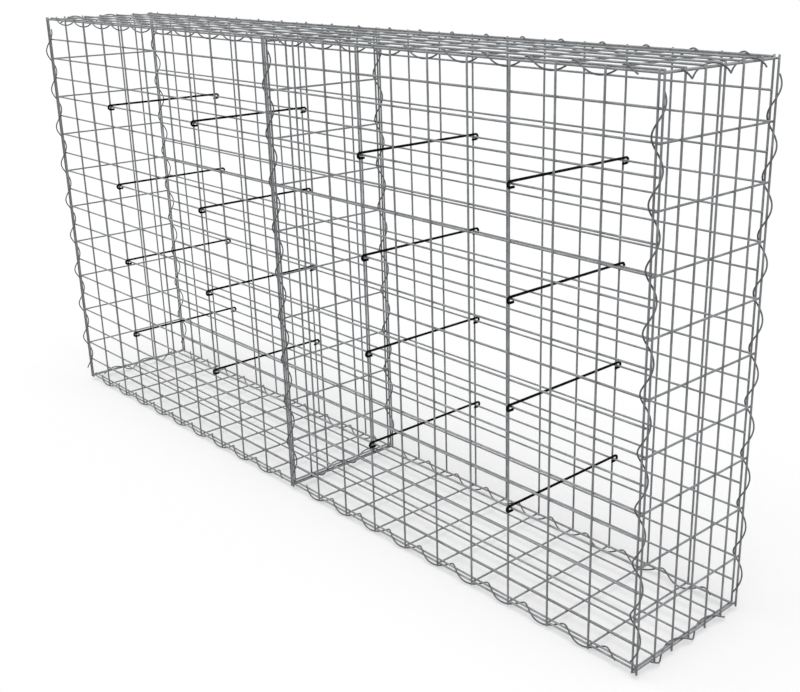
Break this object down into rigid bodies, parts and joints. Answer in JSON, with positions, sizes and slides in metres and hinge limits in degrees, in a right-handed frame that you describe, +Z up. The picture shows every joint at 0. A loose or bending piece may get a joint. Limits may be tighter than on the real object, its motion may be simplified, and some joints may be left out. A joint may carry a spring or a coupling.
{
  "type": "empty welded mesh gabion basket",
  "caption": "Long empty gabion basket of welded wire mesh in bays, with floor, lid and divider panels, helical edge binders and hooked cross ties, ready to be filled with stone.",
  "frame": {"origin": "on the ground under the middle of the basket, level with the lowest turns of the floor spirals", "axes": "+X along the basket to the right, +Y from the front panel to the back panel, +Z up"},
  "size_m": [2.0142, 0.3292, 1.0255],
  "materials": {
    "galvanised_mesh_wire": "hot zinc coated, satin grey",
    "galvanised_spiral_wire": "zinc coated, satin mid grey",
    "black_tie_wire": "black coated"
  },
  "bodies": {
    "root": {"front_panel_left": "galvanised_mesh_wire", "front_panel_right": "galvanised_mesh_wire", "back_panel_left": "galvanised_mesh_wire", "back_panel_right": "galvanised_mesh_wire", "left_end_panel": "galvanised_mesh_wire", "right_end_panel": "galvanised_mesh_wire", "middle_divider": "galvanised_mesh_wire", "floor_panel_left": "galvanised_mesh_wire", "floor_panel_right": "galvanised_mesh_wire", "lid_panel_left": "galvanised_mesh_wire", "lid_panel_right": "galvanised_mesh_wire", "front_spiral_left": "galvanised_spiral_wire", "front_spiral_middle": "galvanised_spiral_wire", "front_spiral_right": "galvanised_spiral_wire", "back_spiral_left": "galvanised_spiral_wire", "back_spiral_middle": "galvanised_spiral_wire", "back_spiral_right": "galvanised_spiral_wire", "floor_spiral_front_left": "galvanised_spiral_wire", "floor_spiral_front_right": "galvanised_spiral_wire", "floor_spiral_back_left": "galvanised_spiral_wire", "floor_spiral_back_right": "galvanised_spiral_wire", "floor_spiral_left_end": "galvanised_spiral_wire", "floor_spiral_middle": "galvanised_spiral_wire", "floor_spiral_right_end": "galvanised_spiral_wire", "lid_spiral_front_left": "galvanised_spiral_wire", "lid_spiral_front_right": "galvanised_spiral_wire", "lid_spiral_back_left": "galvanised_spiral_wire", "lid_spiral_back_right": "galvanised_spiral_wire", "lid_spiral_left_end": "galvanised_spiral_wire", "lid_spiral_middle": "galvanised_spiral_wire", "lid_spiral_right_end": "galvanised_spiral_wire", "ties_far_left": "black_tie_wire", "ties_near_left": "black_tie_wire", "ties_near_right": "black_tie_wire", "ties_far_right": "black_tie_wire"}
  },
  "joints": []
}
